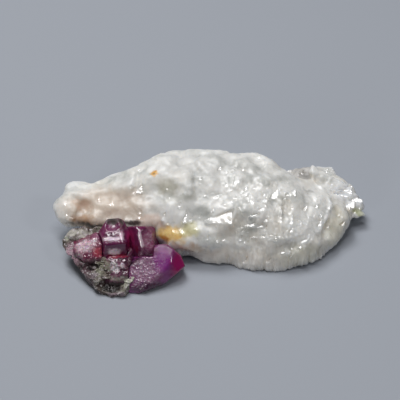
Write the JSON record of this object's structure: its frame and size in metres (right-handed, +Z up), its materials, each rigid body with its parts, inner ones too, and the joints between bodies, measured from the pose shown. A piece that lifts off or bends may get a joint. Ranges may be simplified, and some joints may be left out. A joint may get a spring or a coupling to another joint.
{
  "type": "ruby in matrix",
  "caption": "Hand specimen of purple-red ruby crystals in a mica rind, grown on one end of a long white marble stone, resting on the flat under the stone.",
  "frame": {"origin": "on the flat under the white stone, below the stone's highest part", "axes": "+X along the stone towards its thin right end, -Y towards the rubies, +Z up from the surface it rests on"},
  "size_m": [0.0526, 0.0273, 0.0124],
  "materials": {
    "white_marble": "broken, sugary, waxy sheen",
    "mica_schist": "rough, fine glitter",
    "purple_ruby": "glassy, etched",
    "rose_ruby": "frosted and glassy",
    "magenta_ruby": "glassy end, frosted face"
  },
  "bodies": {
    "root": {"white_matrix": "white_marble", "mica_rind": "mica_schist", "upper_ruby_pair": "purple_ruby", "left_ruby": "rose_ruby", "lower_ruby": "purple_ruby", "right_ruby": "magenta_ruby"}
  },
  "joints": []
}
